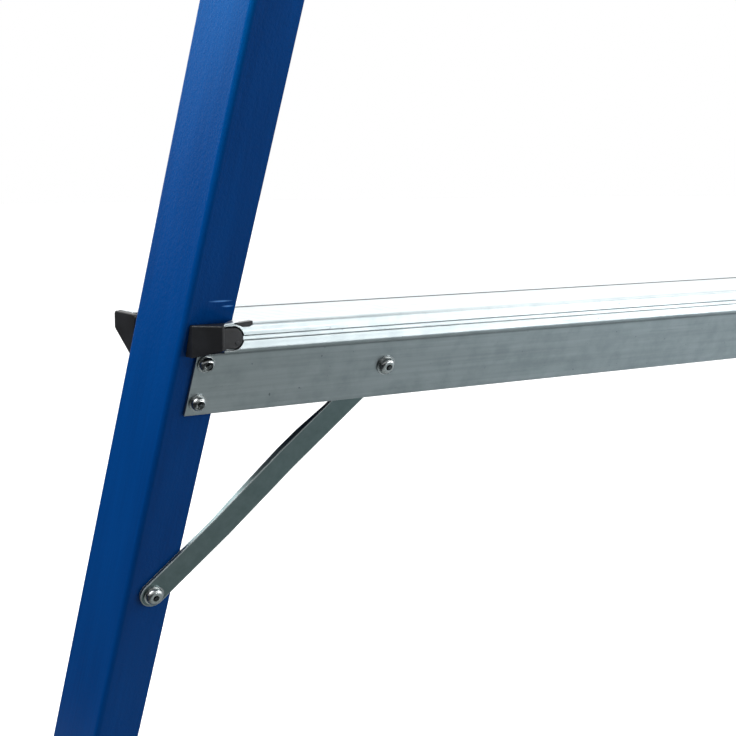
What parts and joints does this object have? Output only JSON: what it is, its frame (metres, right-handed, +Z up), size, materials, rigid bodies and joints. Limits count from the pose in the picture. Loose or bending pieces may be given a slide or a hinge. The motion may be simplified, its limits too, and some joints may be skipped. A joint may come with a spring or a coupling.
{
  "type": "platform stepladder",
  "caption": "Folding fibreglass platform stepladder with ribbed aluminium treads, knee braces, tilting work deck, tool tray and rubber feet.",
  "frame": {"origin": "on the floor, in the middle between the four feet", "axes": "+Z up; +X across the treads; +Y to the climbing side, -Y to the rear section"},
  "size_m": [0.7824, 1.0518, 1.514],
  "materials": {
    "blue_fibreglass": "glossy pultruded fibreglass",
    "mill_aluminium": "mill-finish extrusion",
    "black_plastic": "satin moulded",
    "rivet_steel": "bright plated",
    "plated_steel": "dull zinc plated",
    "black_rubber": "matte"
  },
  "bodies": {
    "front_section": {"front_rail_left": "blue_fibreglass", "front_rail_right": "blue_fibreglass", "bottom_step_tread": "mill_aluminium", "bottom_step_rear_cap_left": "black_plastic", "bottom_step_front_cap_left": "black_plastic", "bottom_step_rear_cap_right": "black_plastic", "bottom_step_front_cap_right": "black_plastic", "bottom_step_rivets": "rivet_steel", "middle_step_tread": "mill_aluminium", "middle_step_rear_cap_left": "black_plastic", "middle_step_front_cap_left": "black_plastic", "middle_step_rear_cap_right": "black_plastic", "middle_step_front_cap_right": "black_plastic", "middle_step_rivets": "rivet_steel", "knee_brace_left": "plated_steel", "knee_brace_right": "plated_steel", "knee_brace_rivets": "rivet_steel", "tool_tray": "black_plastic", "tray_bolts": "rivet_steel", "front_foot_left": "black_plastic", "front_pad_left": "black_rubber", "front_foot_right": "black_plastic", "front_pad_right": "black_rubber", "front_foot_rivets": "rivet_steel", "front_hinge_bracket_left": "plated_steel", "front_hinge_bracket_right": "plated_steel", "front_hinge_rivets": "rivet_steel", "hinge_pin_left": "rivet_steel", "deck_bracket_left": "plated_steel", "hinge_pin_right": "rivet_steel", "deck_bracket_right": "plated_steel", "deck_bracket_rivets": "rivet_steel", "deck_pivot_pin_left": "rivet_steel", "deck_pivot_pin_right": "rivet_steel"},
    "rear_section": {"rear_rail_left": "blue_fibreglass", "rear_rail_right": "blue_fibreglass", "rear_bar_lower": "mill_aluminium", "rear_bar_middle": "mill_aluminium", "deck_support_bar": "mill_aluminium", "rear_bar_rivets": "rivet_steel", "rear_hinge_bracket_left": "plated_steel", "rear_hinge_bracket_right": "plated_steel", "rear_hinge_rivets": "rivet_steel", "rear_foot_left": "black_plastic", "rear_pad_left": "black_rubber", "rear_foot_right": "black_plastic", "rear_pad_right": "black_rubber", "rear_foot_rivets": "rivet_steel"},
    "deck": {"deck_side_left": "mill_aluminium", "deck_side_right": "mill_aluminium", "deck_plank_front": "mill_aluminium", "deck_plank_front_middle": "mill_aluminium", "deck_plank_rear_middle": "mill_aluminium", "deck_plank_rear": "mill_aluminium", "deck_rivets": "rivet_steel"}
  },
  "joints": [
    {"name": "rear_fold", "type": "hinge", "parent": "front_section", "child": "rear_section", "pos_m": [0, -0.05269, 1.4], "axis": [1, 0, 0], "range_deg": [0, 35]},
    {"name": "deck_tilt", "type": "hinge", "parent": "front_section", "child": "deck", "pos_m": [0, 0.12909, 0.878], "axis": [-1, 0, 0], "range_deg": [0, 70]}
  ]
}
